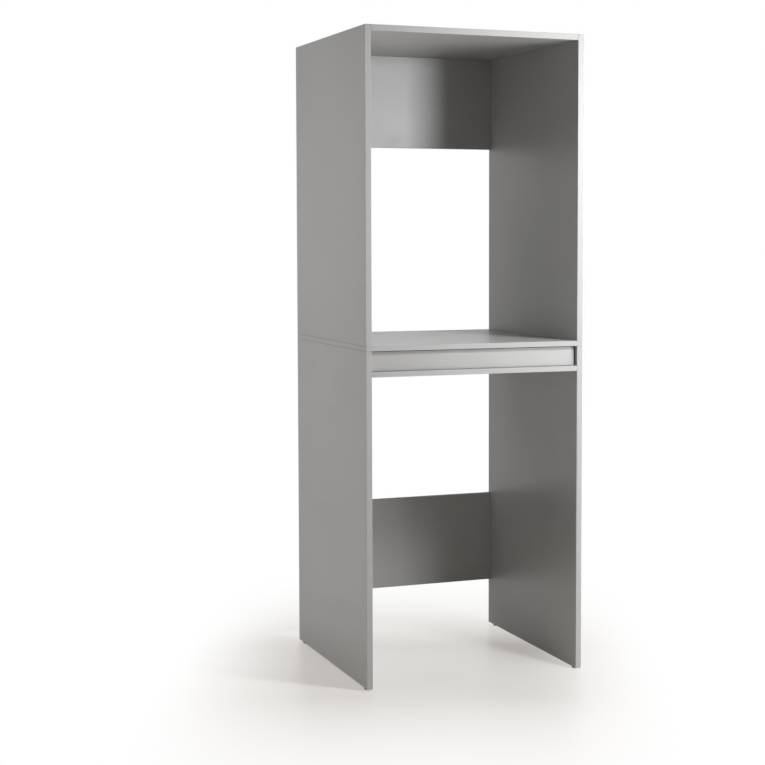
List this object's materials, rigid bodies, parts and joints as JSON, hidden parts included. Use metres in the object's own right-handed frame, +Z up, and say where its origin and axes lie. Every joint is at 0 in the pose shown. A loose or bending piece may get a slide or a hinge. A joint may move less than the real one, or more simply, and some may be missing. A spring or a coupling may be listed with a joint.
{
  "type": "washing machine cabinet",
  "caption": "Tall open-fronted board cabinet for a washing machine with a dryer shelf above, braced back rails and a pull-out laundry shelf on telescopic slides.",
  "frame": {"origin": "on the floor, in the middle of the cabinet's footprint", "axes": "+Z up, -Y out of the open front, +X to the right as seen from the front"},
  "size_m": [0.7, 0.69, 1.95],
  "materials": {
    "cabinet_board": "light grey melamine-faced chipboard with fused edge bands, fine matt texture",
    "pullout_board": "light grey melamine-faced chipboard, fine matt texture",
    "slide_steel": "bright zinc-plated rolled steel",
    "ball_cage_steel": "plain steel strip with polished balls, lightly greased",
    "zinc_fixing": "die-cast zinc, dull nickel flash",
    "screw_steel": "zinc-plated steel",
    "glide_plastic": "dark moulded plastic"
  },
  "bodies": {
    "cabinet": {"compartment_floor": "cabinet_board", "floor_left_cam": "zinc_fixing", "floor_left_cam_bolt": "zinc_fixing", "floor_right_cam": "zinc_fixing", "floor_right_cam_bolt": "zinc_fixing", "front_left_glide": "glide_plastic", "front_left_panel_screw": "screw_steel", "front_right_glide": "glide_plastic", "front_right_panel_screw": "screw_steel", "left_lower_side": "cabinet_board", "left_slide_cabinet_member": "slide_steel", "left_upper_side": "cabinet_board", "lower_back_rail": "cabinet_board", "lower_rail_left_cam": "zinc_fixing", "lower_rail_left_cam_bolt": "zinc_fixing", "lower_rail_right_cam": "zinc_fixing", "lower_rail_right_cam_bolt": "zinc_fixing", "middle_board": "cabinet_board", "rear_left_glide": "glide_plastic", "rear_left_panel_screw": "screw_steel", "rear_right_glide": "glide_plastic", "rear_right_panel_screw": "screw_steel", "right_lower_side": "cabinet_board", "right_slide_cabinet_member": "slide_steel", "right_upper_side": "cabinet_board", "side_front_left_cam": "zinc_fixing", "side_front_left_cam_bolt": "zinc_fixing", "side_front_right_cam": "zinc_fixing", "side_front_right_cam_bolt": "zinc_fixing", "side_rear_left_cam": "zinc_fixing", "side_rear_left_cam_bolt": "zinc_fixing", "side_rear_right_cam": "zinc_fixing", "side_rear_right_cam_bolt": "zinc_fixing", "top_board": "cabinet_board", "top_front_left_cam": "zinc_fixing", "top_front_left_cam_bolt": "zinc_fixing", "top_front_right_cam": "zinc_fixing", "top_front_right_cam_bolt": "zinc_fixing", "top_rear_left_cam": "zinc_fixing", "top_rear_left_cam_bolt": "zinc_fixing", "top_rear_right_cam": "zinc_fixing", "top_rear_right_cam_bolt": "zinc_fixing", "upper_back_rail": "cabinet_board", "upper_rail_left_cam": "zinc_fixing", "upper_rail_left_cam_bolt": "zinc_fixing", "upper_rail_right_cam": "zinc_fixing", "upper_rail_right_cam_bolt": "zinc_fixing"},
    "pullout": {"left_slide_shelf_member": "slide_steel", "pullout_front": "cabinet_board", "pullout_left_batten": "pullout_board", "pullout_rear_batten": "pullout_board", "pullout_right_batten": "pullout_board", "pullout_shelf": "pullout_board", "right_slide_shelf_member": "slide_steel"},
    "left_outer_cage": {"left_slide_outer_cage": "ball_cage_steel"},
    "left_middle_member": {"left_slide_middle_member": "slide_steel"},
    "left_inner_cage": {"left_slide_inner_cage": "ball_cage_steel"},
    "right_outer_cage": {"right_slide_outer_cage": "ball_cage_steel"},
    "right_middle_member": {"right_slide_middle_member": "slide_steel"},
    "right_inner_cage": {"right_slide_inner_cage": "ball_cage_steel"}
  },
  "joints": [
    {"name": "shelf_slide", "type": "slide", "parent": "cabinet", "child": "pullout", "axis": [0, -1, 0], "range_m": [0, 0.5]},
    {"name": "left_outer_cage_slide", "type": "slide", "parent": "cabinet", "child": "left_outer_cage", "axis": [0, -1, 0], "range_m": [0, 0.125]},
    {"name": "left_middle_member_slide", "type": "slide", "parent": "cabinet", "child": "left_middle_member", "axis": [0, -1, 0], "range_m": [0, 0.25]},
    {"name": "left_inner_cage_slide", "type": "slide", "parent": "cabinet", "child": "left_inner_cage", "axis": [0, -1, 0], "range_m": [0, 0.375]},
    {"name": "right_outer_cage_slide", "type": "slide", "parent": "cabinet", "child": "right_outer_cage", "axis": [0, -1, 0], "range_m": [0, 0.125]},
    {"name": "right_middle_member_slide", "type": "slide", "parent": "cabinet", "child": "right_middle_member", "axis": [0, -1, 0], "range_m": [0, 0.25]},
    {"name": "right_inner_cage_slide", "type": "slide", "parent": "cabinet", "child": "right_inner_cage", "axis": [0, -1, 0], "range_m": [0, 0.375]}
  ],
  "couplings": [
    {"joint": "left_outer_cage_slide", "follows": "shelf_slide", "ratio": 0.25},
    {"joint": "left_middle_member_slide", "follows": "shelf_slide", "ratio": 0.5},
    {"joint": "left_inner_cage_slide", "follows": "shelf_slide", "ratio": 0.75},
    {"joint": "right_outer_cage_slide", "follows": "shelf_slide", "ratio": 0.25},
    {"joint": "right_middle_member_slide", "follows": "shelf_slide", "ratio": 0.5},
    {"joint": "right_inner_cage_slide", "follows": "shelf_slide", "ratio": 0.75}
  ]
}
